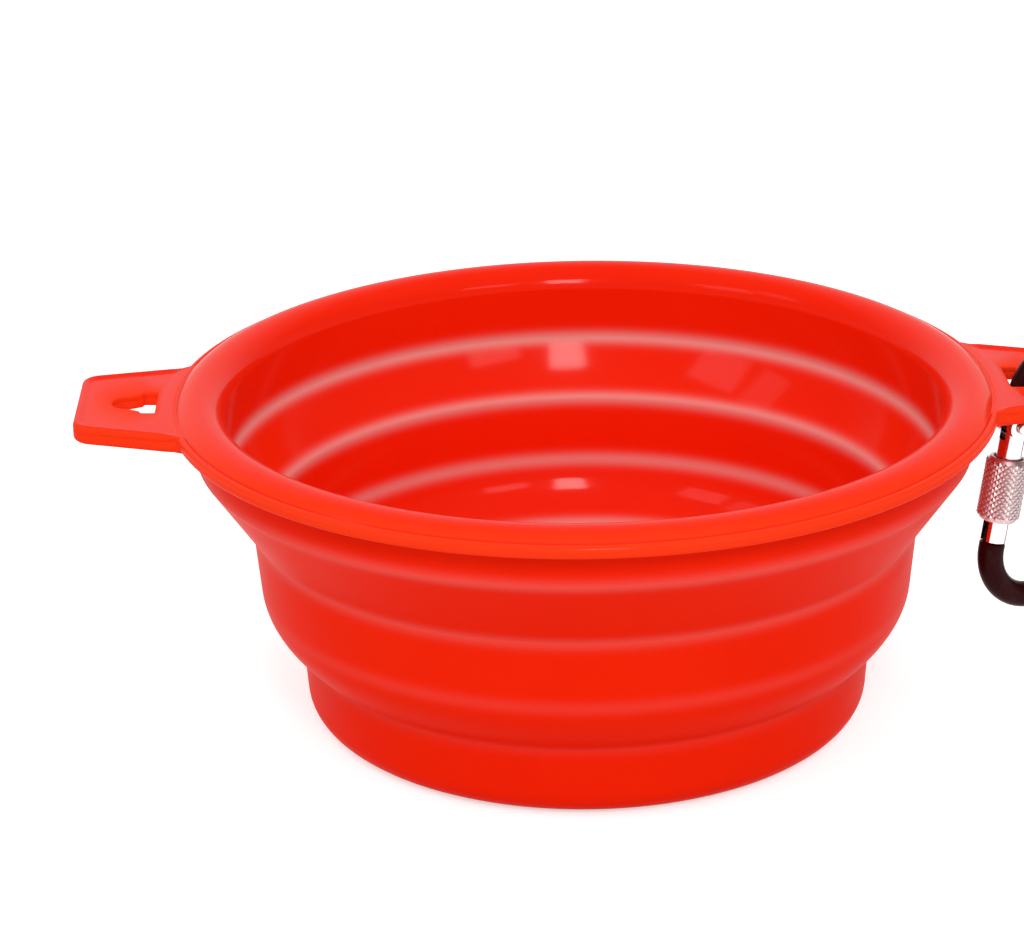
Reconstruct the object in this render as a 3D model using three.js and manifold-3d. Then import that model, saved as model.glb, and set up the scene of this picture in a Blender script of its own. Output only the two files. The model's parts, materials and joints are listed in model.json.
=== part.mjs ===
// Collapsible silicone dog bowl with two hanging ears and a screw-lock clip.
// Millimetres, +Z up. Origin: centre of the bowl's underside. The ears lie along X, the clip hangs on the right one.
// The wall is a stack of upright rings and slanting fold rings, joined by thin living hinges.
import * as THREE from "three";
import { mergeVertices } from "three/addons/utils/BufferGeometryUtils.js";
import Module from "manifold-3d";

// Gaps
const GAP = 0.3; // between pieces that touch
const PIN_GAP = 0.12; // round a pin in its hole

// Heights of the bowl's rings, stacked from the floor up
const BASE_HEIGHT = 12.6;
const LOWER_FOLD_HEIGHT = 10.1;
const MIDDLE_HEIGHT = 11.6;
const UPPER_FOLD_HEIGHT = 12.9;
const COLLAR_HEIGHT = 6.2;
const RIM_HEIGHT = 3.7;

// Outer radii of the bowl's rings
const BASE_R = 47.3;
const BASE_FLARE = 0.9; // the base widens by this towards its top
const MIDDLE_R = 54.7;
const MIDDLE_FLARE = 1.05;
const COLLAR_R = 64.5;
const RIM_R = 68.5;

// Walls and edges of the bowl
const FLOOR = 3;
const WALL = 2.4;
const FOLD_WALL = 2;
const COLLAR_WALL = 5.2;
const HINGE_WALL = 1.2;
const HINGE_HEIGHT = 2;
const FOLD_BOW = 1.35; // the lower fold bulges outwards by this
const FOOT_ROUND = 4.6;
const INNER_ROUND = 2.5; // where the floor meets the wall inside
const RIM_WIDTH = 8.1;
const RIM_STEP = 4.5; // the rim stands out from the collar's top by this
const SHOULDER_WIDTH = 3.5; // the rim's top slopes down over this towards the outside
const RIM_INNER_ROUND = 2.2;
const RIM_DISH = 0.4; // the rim's top drops by this towards the inside
const BEAD_HEIGHT = 2.2; // upright band along the rim's outside
const BEAD_ROUND = 0.6;

// Ears
const EAR_THICK = 2.9;
const EAR_DROP = 1.7; // the ears' top lies this far below the rim's
const EAR_ROOT_HALF = 17.1;
const EAR_END_HALF = 11.8;
const EAR_CORNER = 4;
const EAR_EDGE = 0.5; // chamfer
const ROOT_WEB = 2.2; // from the rim to the hole
const EAR_WEB = 5.7; // from the hole to the ear's end
const SLOT_LENGTH = 2.4; // wide straight part of the hole, next to the bowl
const SLOT_HALF = 5;
const BOTTLE_HALF = 4.2; // half the width of the tapering part where it leaves the slot
const HOLE_SIDE = 0.7; // round the clip's rod at the hole's narrow end

// Clip
const ROD_R = 2.2;
const BEND_R = 8.6; // of the rod's centre line
const CLIP_STRAIGHT = 26.6; // straight length of the back
const CLIP_TURN = 24; // degrees about Z, the back away from the front of the bowl
const CLIP_LEAN = 10; // degrees, lower end towards the bowl
const RIVET_DROP = 4.7; // rivet below the start of the upper bend
const RIVET_R = 0.7;
const RIVET_HEAD_R = 1.1;
const RIVET_HEAD = 0.4;
const TONGUE_THICK = 1;
const TONGUE_R = 2;
const NOSE_TONGUE = 3.4; // height of the tongue on the nose, which the gate shuts over
const NOSE_TONGUE_R = 1.7;
const GATE_R = 2.2;
const GATE_LENGTH = 20.5; // from the rivet to the gate's end
const CHEEK_R = 2.2;
const PLUNGER_R = 0.85;
const PLUNGER_LENGTH = 1.6;
const SPRING_R = 0.72; // of the wire's centre line
const WIRE_R = 0.22;
const SPRING_TURNS = 6;
const SPRING_LENGTH = 7.2;
const SLEEVE_R = 3.6;
const SLEEVE_LENGTH = 11;
const SLEEVE_START = 5.7; // sleeve's top below the rivet
const SLEEVE_CHAMFER = 0.6;

// Facets
const RING_SIDES = 48;
const ROD_SIDES = 12;
const ROD_STEPS = 40;
const PIN_SIDES = 16;
const TURN_STEPS = 8;
const WIRE_SIDES = 5;
const SLEEVE_SIDES = 24;
const EAR_STEPS = 8; // along each curve of the ears' outline

const SILICONE = { color: 0xed2a0c, roughness: 0.45, metalness: 0 };
const HINGE_SILICONE = { color: 0xf05038, roughness: 0.5, metalness: 0 };
const BLACK_ROD = { color: 0x141012, roughness: 0.35, metalness: 0.6 };
const SILVER = { color: 0xc9c9cc, roughness: 0.25, metalness: 1 };
const SPRING_STEEL = { color: 0x9a9a9e, roughness: 0.4, metalness: 1 };

const wasm = await Module();
wasm.setup();

// Solids

function solid(geometry) {
  const bare = new THREE.BufferGeometry();
  bare.setAttribute("position", geometry.getAttribute("position").clone());
  if (geometry.index) bare.setIndex(geometry.index.clone());
  const merged = mergeVertices(bare, 1e-4);
  return new wasm.Manifold(
    new wasm.Mesh({
      numProp: 3,
      vertProperties: new Float32Array(merged.attributes.position.array),
      triVerts: new Uint32Array(merged.index.array),
    }),
  );
}

function geometryOf(made) {
  const mesh = made.getMesh();
  const geometry = new THREE.BufferGeometry();
  geometry.setAttribute("position", new THREE.BufferAttribute(mesh.vertProperties, 3));
  geometry.setIndex(new THREE.BufferAttribute(mesh.triVerts, 1));
  return geometry;
}

// A ring or cup turned about Z from [radius, z] points that run up the outside and down the inside.
function turned(points, sides = RING_SIDES) {
  const onAxis = points[0][0] === 0;
  const outline = (onAxis ? points : [...points, points[0]]).map(([r, z]) => new THREE.Vector2(r, z));
  return new THREE.LatheGeometry(outline, sides).rotateX(Math.PI / 2);
}

// Points on an arc in the [radius, z] plane, angles in degrees from the outward direction.
function arc(r, z, radius, from, to, steps) {
  const points = [];
  for (let i = 0; i <= steps; i++) {
    const angle = THREE.MathUtils.degToRad(from + ((to - from) * i) / steps);
    points.push([r + radius * Math.cos(angle), z + radius * Math.sin(angle)]);
  }
  return points;
}

// A round bar along Z or Y, centred on its middle.
function bar(radius, length, alongY = false, sides = PIN_SIDES) {
  const geometry = new THREE.CylinderGeometry(radius, radius, length, sides);
  return alongY ? geometry : geometry.rotateX(Math.PI / 2);
}

function circle(radius, sides) {
  const points = [];
  for (let i = 0; i < sides; i++) {
    const angle = (2 * Math.PI * i) / sides;
    points.push(new THREE.Vector2(radius * Math.cos(angle), radius * Math.sin(angle)));
  }
  return new THREE.Shape(points);
}

function tubeAlong(curve, radius, steps, sides) {
  return new THREE.ExtrudeGeometry(circle(radius, sides), {
    steps,
    extrudePath: curve,
    bevelEnabled: false,
  });
}

const bowl = new THREE.Group();

function add(parent, name, geometry, look) {
  const mesh = new THREE.Mesh(geometry, new THREE.MeshStandardMaterial(look));
  mesh.name = name;
  parent.add(mesh);
  return mesh;
}

// Levels where the wall bends
const baseTop = BASE_HEIGHT;
const middleBottom = baseTop + LOWER_FOLD_HEIGHT;
const middleTop = middleBottom + MIDDLE_HEIGHT;
const collarBottom = middleTop + UPPER_FOLD_HEIGHT;
const rimBottom = collarBottom + COLLAR_HEIGHT;
const rimTop = rimBottom + RIM_HEIGHT;

const baseTopR = BASE_R + BASE_FLARE;
const middleTopR = MIDDLE_R + MIDDLE_FLARE;
const collarTopR = RIM_R - RIM_STEP;

function between(z, z0, z1, r0, r1) {
  return r0 + ((r1 - r0) * (z - z0)) / (z1 - z0);
}

// Outer radius of the whole wall at a height.
function outside(z) {
  if (z <= baseTop) return between(z, 0, baseTop, BASE_R, baseTopR);
  if (z <= middleBottom) {
    const t = (z - baseTop) / LOWER_FOLD_HEIGHT;
    return between(z, baseTop, middleBottom, baseTopR, MIDDLE_R) + FOLD_BOW * 4 * t * (1 - t);
  }
  if (z <= middleTop) return between(z, middleBottom, middleTop, MIDDLE_R, middleTopR);
  if (z <= collarBottom) return between(z, middleTop, collarBottom, middleTopR, COLLAR_R);
  return between(z, collarBottom, rimBottom, COLLAR_R, collarTopR);
}

// Inner radius at a height: the fold's inside runs beside its outside until it meets the rings' insides.
function inside(z) {
  const slant = (height, width) => FOLD_WALL * Math.hypot(1, width / height);
  const lower = slant(LOWER_FOLD_HEIGHT, MIDDLE_R - baseTopR);
  const upper = slant(UPPER_FOLD_HEIGHT, COLLAR_R - middleTopR);
  if (z <= baseTop) return outside(z) - WALL;
  if (z <= middleBottom) return Math.min(Math.max(outside(z) - lower, baseTopR - WALL), MIDDLE_R - WALL);
  if (z <= middleTop) return outside(z) - WALL;
  if (z <= collarBottom) return Math.min(Math.max(outside(z) - upper, middleTopR - WALL), COLLAR_R - COLLAR_WALL);
  return COLLAR_R - COLLAR_WALL;
}

// A ring of the wall between two heights, sampled at a few levels.
function wallRing(low, high, steps) {
  const points = [];
  for (let i = 0; i <= steps; i++) {
    const z = low + ((high - low) * i) / steps;
    points.push([outside(z), z]);
  }
  for (let i = steps; i >= 0; i--) {
    const z = low + ((high - low) * i) / steps;
    points.push([inside(z), z]);
  }
  return turned(points);
}

// A thin ring in the middle of the wall, across a bend.
function hingeRing(level) {
  const low = level - HINGE_HEIGHT / 2 + GAP;
  const high = level + HINGE_HEIGHT / 2 - GAP;
  const middle = (z) => (outside(z) + inside(z)) / 2;
  const levels = [low, level, high];
  const points = levels.map((z) => [middle(z) + HINGE_WALL / 2, z]);
  for (const z of levels.reverse()) points.push([middle(z) - HINGE_WALL / 2, z]);
  return turned(points);
}

const half = HINGE_HEIGHT / 2;

// Base cup
const cupTop = baseTop - half;
const cupInside = inside(cupTop);
add(
  bowl,
  "base_cup",
  turned([
    [0, 0],
    ...arc(BASE_R - FOOT_ROUND, FOOT_ROUND, FOOT_ROUND, -90, 0, 3),
    [outside(cupTop), cupTop],
    [cupInside, cupTop],
    ...arc(BASE_R - WALL - INNER_ROUND, FLOOR + INNER_ROUND, INNER_ROUND, 0, -90, 2),
    [0, FLOOR],
  ]),
  SILICONE,
);

// Wall rings
add(bowl, "hinge_ring_1", hingeRing(baseTop), HINGE_SILICONE);
add(bowl, "lower_fold", wallRing(baseTop + half, middleBottom - half, 4), SILICONE);
add(bowl, "hinge_ring_2", hingeRing(middleBottom), HINGE_SILICONE);
add(bowl, "middle_band", wallRing(middleBottom + half, middleTop - half, 1), SILICONE);
add(bowl, "hinge_ring_3", hingeRing(middleTop), HINGE_SILICONE);
add(bowl, "upper_fold", wallRing(middleTop + half, collarBottom - half, 3), SILICONE);
add(bowl, "hinge_ring_4", hingeRing(collarBottom), HINGE_SILICONE);
add(bowl, "collar_band", wallRing(collarBottom + half, rimBottom - GAP, 1), SILICONE);

// Rim: an upright bead along its outside, a top that slopes down to the bead and dips a little towards the inside
const rimInner = RIM_R - RIM_WIDTH;
const beadTop = rimBottom + BEAD_HEIGHT;
add(
  bowl,
  "rim_ring",
  turned([
    [RIM_R - BEAD_ROUND, rimBottom],
    [RIM_R, rimBottom + BEAD_ROUND],
    [RIM_R, beadTop - BEAD_ROUND],
    [RIM_R - BEAD_ROUND, beadTop],
    [RIM_R - SHOULDER_WIDTH, rimTop],
    ...arc(rimInner + RIM_INNER_ROUND, rimTop - RIM_DISH - RIM_INNER_ROUND, RIM_INNER_ROUND, 100, 180, 3),
    [rimInner, rimBottom],
  ]),
  SILICONE,
);

// Where the clip hangs: its plane goes through the centre of the hole's round end, turned by CLIP_TURN. The upper bend
// straddles the ear's web, its inside resting on the web's two upper edges.
const earTop = rimTop - EAR_DROP;
const earBottom = earTop - EAR_THICK;
const holeStart = RIM_R + ROOT_WEB;
const tipR = ROD_R + HOLE_SIDE;
const turn = THREE.MathUtils.degToRad(CLIP_TURN);
const webFar = (tipR + EAR_WEB) / Math.cos(turn);
const webHalf = (webFar - tipR) / 2;
const webMiddle = (webFar + tipR) / 2;
const bendInside = BEND_R - ROD_R - GAP;
const clipZ = earTop - Math.sqrt(bendInside ** 2 - webHalf ** 2);
const rodReach = Math.sqrt((BEND_R + ROD_R) ** 2 - Math.max(0, earBottom - clipZ) ** 2) - webMiddle;
const tipX = holeStart + GAP + rodReach * Math.cos(turn);
const earReach = tipX + tipR + EAR_WEB;
const clipX = tipX + webMiddle * Math.cos(turn);
const clipY = webMiddle * Math.sin(turn);

// Ears: a tapering plate whose root follows the rim, with a bottle-shaped hole
function earGeometry() {
  const rootR = RIM_R + GAP;
  const rootAngle = Math.asin(EAR_ROOT_HALF / rootR);
  const rootX = rootR * Math.cos(rootAngle);
  const side = new THREE.Vector2(earReach - rootX, EAR_END_HALF - EAR_ROOT_HALF).normalize();
  const outline = new THREE.Shape();
  outline.moveTo(rootX, -EAR_ROOT_HALF);
  outline.lineTo(earReach - side.x * EAR_CORNER, -EAR_END_HALF + side.y * EAR_CORNER);
  outline.quadraticCurveTo(earReach, -EAR_END_HALF, earReach, -EAR_END_HALF + EAR_CORNER);
  outline.lineTo(earReach, EAR_END_HALF - EAR_CORNER);
  outline.quadraticCurveTo(
    earReach,
    EAR_END_HALF,
    earReach - side.x * EAR_CORNER,
    EAR_END_HALF - side.y * EAR_CORNER,
  );
  outline.lineTo(rootX, EAR_ROOT_HALF);
  outline.absarc(0, 0, rootR, rootAngle, -rootAngle, true);

  const slotEnd = holeStart + SLOT_LENGTH;
  const hole = new THREE.Path();
  hole.moveTo(holeStart, -SLOT_HALF);
  hole.lineTo(slotEnd, -SLOT_HALF);
  hole.lineTo(slotEnd, -BOTTLE_HALF);
  hole.lineTo(tipX, -tipR);
  hole.absarc(tipX, 0, tipR, -Math.PI / 2, Math.PI / 2, false);
  hole.lineTo(slotEnd, BOTTLE_HALF);
  hole.lineTo(slotEnd, SLOT_HALF);
  hole.lineTo(holeStart, SLOT_HALF);
  hole.closePath();
  outline.holes.push(hole);

  return new THREE.ExtrudeGeometry(outline, {
    depth: EAR_THICK - 2 * EAR_EDGE,
    curveSegments: EAR_STEPS,
    bevelEnabled: true,
    bevelThickness: EAR_EDGE,
    bevelSize: EAR_EDGE,
    bevelOffset: -EAR_EDGE,
    bevelSegments: 1,
  }).translate(0, 0, earBottom + EAR_EDGE);
}

add(bowl, "right_ear", earGeometry(), SILICONE);
add(bowl, "left_ear", earGeometry(), SILICONE).rotation.z = Math.PI;

// Clip, in its own frame: origin at the centre of the upper bend, X away from the bowl, Z up.
const clip = new THREE.Group();
clip.position.set(clipX, clipY, clipZ);
clip.rotation.set(0, THREE.MathUtils.degToRad(CLIP_LEAN), turn, "ZYX");
bowl.add(clip);

const gateX = -BEND_R;
const rivetZ = -RIVET_DROP;
const gateEnd = rivetZ - GATE_LENGTH;
const noseTop = gateEnd - GAP;
const rodEnd = rivetZ + CHEEK_R + GAP;

// The rod's centre line: it starts above the rivet, goes over the upper bend, down the back, round the lower bend and
// up to the nose.
class ClipLine extends THREE.Curve {
  constructor() {
    super();
    const lowZ = -CLIP_STRAIGHT;
    this.runs = [
      { length: -rodEnd, at: (s) => [gateX, rodEnd + s] },
      { length: Math.PI * BEND_R, at: (s) => this.bend(0, Math.PI - s / BEND_R) },
      { length: CLIP_STRAIGHT, at: (s) => [BEND_R, -s] },
      { length: Math.PI * BEND_R, at: (s) => this.bend(lowZ, -s / BEND_R) },
      { length: noseTop - lowZ, at: (s) => [gateX, lowZ + s] },
    ];
    this.total = this.runs.reduce((sum, run) => sum + run.length, 0);
  }

  bend(z, angle) {
    return [BEND_R * Math.cos(angle), z + BEND_R * Math.sin(angle)];
  }

  getPoint(t, target = new THREE.Vector3()) {
    let s = t * this.total;
    let i = 0;
    while (i < this.runs.length - 1 && s > this.runs[i].length) {
      s -= this.runs[i].length;
      i += 1;
    }
    const [x, z] = this.runs[i].at(Math.min(s, this.runs[i].length));
    return target.set(x, 0, z);
  }
}

// A flat tongue in the clip's plane, from one height to another, on the gate's line.
function tongue(radius, low, high) {
  return solid(
    new THREE.BoxGeometry(2 * radius, TONGUE_THICK, high - low).translate(gateX, 0, (low + high) / 2),
  );
}

const rod = solid(tubeAlong(new ClipLine(), ROD_R, ROD_STEPS, ROD_SIDES));
const hingeTongue = tongue(TONGUE_R, rivetZ, rodEnd + ROD_R).add(
  solid(bar(TONGUE_R, TONGUE_THICK, true).translate(gateX, 0, rivetZ)),
);
const noseTongue = tongue(NOSE_TONGUE_R, noseTop - ROD_R / 2, noseTop + NOSE_TONGUE);
const rivetHole = solid(bar(RIVET_R + PIN_GAP, 6 * GATE_R, true).translate(gateX, 0, rivetZ));
add(
  clip,
  "carabiner_frame",
  geometryOf(rod.add(hingeTongue).add(noseTongue).subtract(rivetHole)),
  BLACK_ROD,
);

// Gate: a rod with a round forked head, a slot for each tongue and a blind bore for the plunger and spring
const slotBottom = rivetZ - TONGUE_R - 2 * GAP;
const boreR = Math.max(PLUNGER_R, SPRING_R + WIRE_R) + GAP;
const plungerTop = rivetZ - TONGUE_R - GAP;
const springTop = plungerTop - PLUNGER_LENGTH - GAP;
const boreBottom = springTop - SPRING_LENGTH - GAP;
const noseSlotTop = noseTop + NOSE_TONGUE + GAP;

// What is cut out of the gate for a tongue.
function slot(low, high) {
  return solid(
    new THREE.BoxGeometry(4 * CHEEK_R, TONGUE_THICK + 2 * GAP, high - low).translate(gateX, 0, (low + high) / 2),
  );
}

const gateBody = solid(bar(GATE_R, GATE_LENGTH).translate(gateX, 0, rivetZ - GATE_LENGTH / 2))
  .add(solid(bar(CHEEK_R, 2 * GATE_R, true).translate(gateX, 0, rivetZ)))
  .subtract(slot(slotBottom, rivetZ + 2 * CHEEK_R))
  .subtract(slot(gateEnd - GAP, noseSlotTop))
  .subtract(
    solid(bar(boreR, slotBottom + GAP - boreBottom).translate(gateX, 0, (slotBottom + GAP + boreBottom) / 2)),
  )
  .subtract(rivetHole);
add(clip, "gate", geometryOf(gateBody), SILVER);

// Rivet with two heads outside the gate's cheeks
const shank = 2 * (GATE_R + GAP + RIVET_HEAD / 2);
const headY = GATE_R + GAP + RIVET_HEAD / 2;
const rivet = solid(bar(RIVET_R, shank, true))
  .add(solid(bar(RIVET_HEAD_R, RIVET_HEAD, true).translate(0, headY, 0)))
  .add(solid(bar(RIVET_HEAD_R, RIVET_HEAD, true).translate(0, -headY, 0)));
add(clip, "gate_rivet", geometryOf(rivet).translate(gateX, 0, rivetZ), SILVER);

add(
  clip,
  "spring_plunger",
  bar(PLUNGER_R, PLUNGER_LENGTH).translate(gateX, 0, plungerTop - PLUNGER_LENGTH / 2),
  SPRING_STEEL,
);

// Spring: one unbroken coil
class Coil extends THREE.Curve {
  getPoint(t, target = new THREE.Vector3()) {
    const angle = 2 * Math.PI * SPRING_TURNS * t;
    const rise = SPRING_LENGTH - 2 * WIRE_R;
    return target.set(SPRING_R * Math.cos(angle), SPRING_R * Math.sin(angle), -WIRE_R - rise * t);
  }
}

const coilGap = (SPRING_LENGTH - 2 * WIRE_R) / SPRING_TURNS - 2 * WIRE_R;
console.log("gap between the spring's turns " + coilGap.toFixed(2) + " mm");
add(
  clip,
  "gate_spring",
  tubeAlong(new Coil(), WIRE_R, SPRING_TURNS * TURN_STEPS, WIRE_SIDES).translate(gateX, 0, springTop),
  SPRING_STEEL,
);

// Screw sleeve round the gate
const sleeveTop = rivetZ - SLEEVE_START;
const sleeveBottom = sleeveTop - SLEEVE_LENGTH;
const sleeveBore = Math.max(GATE_R, ROD_R) + GAP;
add(
  clip,
  "lock_sleeve",
  turned(
    [
      [SLEEVE_R - SLEEVE_CHAMFER, sleeveBottom],
      [SLEEVE_R, sleeveBottom + SLEEVE_CHAMFER],
      [SLEEVE_R, sleeveTop - SLEEVE_CHAMFER],
      [SLEEVE_R - SLEEVE_CHAMFER, sleeveTop],
      [sleeveBore, sleeveTop],
      [sleeveBore, sleeveBottom],
    ],
    SLEEVE_SIDES,
  ).translate(gateX, 0, 0),
  SILVER,
);

export default bowl;
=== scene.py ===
"""Looks of the folding silicone bowl and its screw-lock clip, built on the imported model. Metres, +Z up."""

import json
import math
from functools import partial

import bmesh
import bpy
import numpy as np
from bpy.props import FloatProperty, FloatVectorProperty, IntProperty, PointerProperty
from mathutils import Matrix, Vector
from mathutils.geometry import delaunay_2d_cdt


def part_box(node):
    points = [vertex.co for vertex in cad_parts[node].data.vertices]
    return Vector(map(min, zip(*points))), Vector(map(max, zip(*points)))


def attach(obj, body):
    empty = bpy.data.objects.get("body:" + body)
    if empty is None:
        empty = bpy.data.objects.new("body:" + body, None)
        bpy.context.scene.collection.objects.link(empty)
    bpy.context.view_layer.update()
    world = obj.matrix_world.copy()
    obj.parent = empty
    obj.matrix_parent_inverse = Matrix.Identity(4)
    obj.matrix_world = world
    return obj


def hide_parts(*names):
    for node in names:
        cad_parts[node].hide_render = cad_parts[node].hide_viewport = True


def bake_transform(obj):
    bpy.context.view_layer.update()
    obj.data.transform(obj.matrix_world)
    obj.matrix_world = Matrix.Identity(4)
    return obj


bl_info = {
    "name": "Folding dog bowl",
    "version": (1, 0, 0),
    "blender": (4, 5, 0),
    "location": "View3D > Sidebar > Dog bowl",
    "description": "Makes the silicone bowl, its clip and a plain studio",
    "category": "Object",
}

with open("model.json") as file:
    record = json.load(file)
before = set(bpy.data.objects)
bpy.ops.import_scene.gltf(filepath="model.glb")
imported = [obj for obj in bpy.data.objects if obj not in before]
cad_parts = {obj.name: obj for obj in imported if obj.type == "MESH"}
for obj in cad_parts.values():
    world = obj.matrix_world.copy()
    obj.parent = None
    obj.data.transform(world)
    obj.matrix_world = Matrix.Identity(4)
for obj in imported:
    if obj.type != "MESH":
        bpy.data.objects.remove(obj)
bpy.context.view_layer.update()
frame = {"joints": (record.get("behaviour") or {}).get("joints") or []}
JOINTS = {joint["name"]: joint for joint in frame["joints"]}
MM = 0.001
MERGE = 1e-7  # points closer than this are one point
TINY = 1e-9


def middle_height(node):
    low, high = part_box(node)
    return (low.z + high.z) / 2


# Levels where the wall bends, from the hinge rings
BASE_TOP = middle_height("hinge_ring_1")
MIDDLE_BOTTOM = middle_height("hinge_ring_2")
MIDDLE_TOP = middle_height("hinge_ring_3")
COLLAR_BOTTOM = middle_height("hinge_ring_4")
RIM_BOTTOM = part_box("rim_ring")[0].z
RIM_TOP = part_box("rim_ring")[1].z

# Where one skin ends and the next begins, on the straight parts of the wall
BASE_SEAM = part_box("base_cup")[1].z
MIDDLE_LOW_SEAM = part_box("middle_band")[0].z
MIDDLE_HIGH_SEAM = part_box("middle_band")[1].z
COLLAR_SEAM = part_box("collar_band")[0].z

# The photograph's frame and the camera that fits it
IMAGE_WIDTH = 1024
IMAGE_HEIGHT = 926
FOCAL_PIXELS = 3261.4
SENSOR = 36.0
CAMERA_ELEVATION = 21.24
CAMERA_ROLL = -1.15
CAMERA_TURN = -1.9
CAMERA_DISTANCE = 0.553
AIM_POINT = Vector((0, 0, 0.02435))
AIM_PIXEL = (585.02, 560.91)


# Sizes and colours


def length(name, description, default):
    shown = {"min": 0.0, "unit": "LENGTH", "subtype": "DISTANCE", "precision": 5}
    return FloatProperty(name=name, description=description, default=default, **shown)


def colour(name, description, default):
    shown = {"size": 4, "min": 0.0, "max": 1.0, "subtype": "COLOR"}
    return FloatVectorProperty(name=name, description=description, default=default, **shown)


class BowlSizes(bpy.types.PropertyGroup):
    """Sizes of the silicone bowl."""

    base_radius: length("Base radius", "Outer radius at the foot", 47.3 * MM)
    base_top_radius: length("Base top radius", "Outer radius where the lower fold starts", 48.2 * MM)
    middle_radius: length("Middle radius", "Outer radius at the middle band's lower end", 54.7 * MM)
    middle_top_radius: length("Middle top radius", "Outer radius at the middle band's upper end", 55.75 * MM)
    collar_radius: length("Collar radius", "Outer radius at the collar's lower end", 64.5 * MM)
    collar_top_radius: length("Collar top radius", "Outer radius under the rim", 64.0 * MM)
    collar_bend: length("Collar bend", "Drop of the inner bend below the collar's lower end", 3.17 * MM)
    rim_radius: length("Rim radius", "Outer radius of the rim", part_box("rim_ring")[1].x)
    crown_inset: length("Crown inset", "The rim's highest line inwards from its outside", 4.7 * MM)
    crown_radius: length("Crown radius", "Radius of the rim's domed top", 4.5 * MM)
    bead_width: length("Bead width", "Width of the bead along the rim's outside", 1.1 * MM)
    groove: length("Groove", "Depth of the groove between the bead and the dome", 0.2 * MM)
    floor: length("Floor", "Thickness of the floor", 3.0 * MM)
    wall: length("Wall", "Thickness of the wall, measured level", 2.42 * MM)
    collar_wall: length("Collar wall", "Thickness of the collar", 5.2 * MM)
    lower_bow: length("Lower bow", "Outward bulge of the lower fold", 1.35 * MM)
    upper_bow: length("Upper bow", "Outward bulge of the upper fold's inside", 0.4 * MM)
    foot_round: length("Foot round", "Rounding of the foot's edge", 4.6 * MM)
    bend_round: length("Bend round", "Rounding of the wall's bends", 1.0 * MM)
    line_width: length("Line width", "Spread of the pale line along each bend", 0.85 * MM)
    sides: IntProperty(name="Sides", description="Faces round the bowl", default=192, min=24)


class EarSizes(bpy.types.PropertyGroup):
    """Sizes of the two holed ears."""

    root_half: length("Root half width", "Half the width where the sides meet the rim", 16.85 * MM)
    end_half: length("End half width", "Half the width at the end", 12.2 * MM)
    corner: length("Corner", "Rounding of the end's corners", 3.4 * MM)
    root_fillet: length("Root fillet", "Rounding between the ear's sides and the rim", 1.8 * MM)
    root_blend: length("Root blend", "Length over which the ear's top runs into the rim", 2.3 * MM)
    rise: length("Rise", "Height of the lip's top over the solid ear's top", 0.25 * MM)
    lip: length("Lip", "Width of the raised lip along the ear's edge", 0.85 * MM)
    lip_slope: length("Lip slope", "Width of the slope from the lip down to the panel", 0.5 * MM)
    panel: length("Panel", "Depth of the recessed panel inside the lip", 0.4 * MM)
    lean: FloatProperty(
        name="Lean",
        description="Slope of the ears: the free one bends up, the one with the clip hangs down",
        default=0.033,
    )
    edge: length("Edge", "Rounding of the upper and lower edges", 0.75 * MM)
    hole_edge: length("Hole edge", "Rounding of the hole's edges", 0.3 * MM)
    seam: length("Seam", "Depth of the mould's parting line round the edge", 0.1 * MM)
    hole_start: length("Hole start", "Inner end of the hole from the bowl's axis", 70.7 * MM)
    slot_length: length("Slot length", "Length of the hole's wide part", 2.4 * MM)
    slot_half: length("Slot half width", "Half the width of the hole's wide part", 4.8 * MM)
    neck_half: length("Neck half width", "Half the width where the hole starts to taper", 4.0 * MM)
    tip_radius: length("Tip radius", "Radius of the hole's narrow end", 2.9 * MM)
    tip_centre: length("Tip centre", "Centre of the hole's narrow end from the bowl's axis", 75.024 * MM)


class ClipSizes(bpy.types.PropertyGroup):
    """Sizes of the screw-lock clip."""

    rod_radius: length("Rod radius", "Radius of the bent rod", 2.2 * MM)
    bend_radius: length("Bend radius", "Radius of the bends' centre line", 8.6 * MM)
    straight: length("Straight", "Straight length of the back", 26.6 * MM)
    rod_end: length("Rod end", "Upper end of the rod below the upper bend", 2.2 * MM)
    nose: length("Nose", "Top of the nose below the upper bend", 25.5 * MM)
    rivet_drop: length("Rivet drop", "Rivet below the upper bend", 4.7 * MM)
    rivet_head: length("Rivet head", "Radius of the rivet's heads", 1.1 * MM)
    tongue: length("Tongue", "Thickness of the flat tongues", 1.0 * MM)
    gate_radius: length("Gate radius", "Radius of the gate", 2.2 * MM)
    gate_length: length("Gate length", "Gate from the rivet to its end", 20.5 * MM)
    slot: length("Slot", "Width of the gate's slots", 1.6 * MM)
    sleeve_radius: length("Sleeve radius", "Radius of the sleeve over the knurl", 3.6 * MM)
    sleeve_bore: length("Sleeve bore", "Radius of the sleeve's bore", 2.5 * MM)
    sleeve_top: length("Sleeve top", "Top of the sleeve below the upper bend", 10.4 * MM)
    sleeve_length: length("Sleeve length", "Length of the sleeve", 11.0 * MM)
    knurl_depth: length("Knurl depth", "Height of the knurl's diamonds", 0.17 * MM)
    knurl_round: IntProperty(name="Knurl count", description="Diamonds round the sleeve", default=22, min=6)
    knurl_rows: IntProperty(name="Knurl rows", description="Rows of diamonds", default=19, min=3)
    wire_radius: length("Wire radius", "Radius of the spring's wire", 0.22 * MM)
    coil_radius: length("Coil radius", "Radius of the spring's centre line", 0.72 * MM)
    coil_turns: IntProperty(name="Coil turns", description="Turns of the spring", default=6, min=1)


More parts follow.
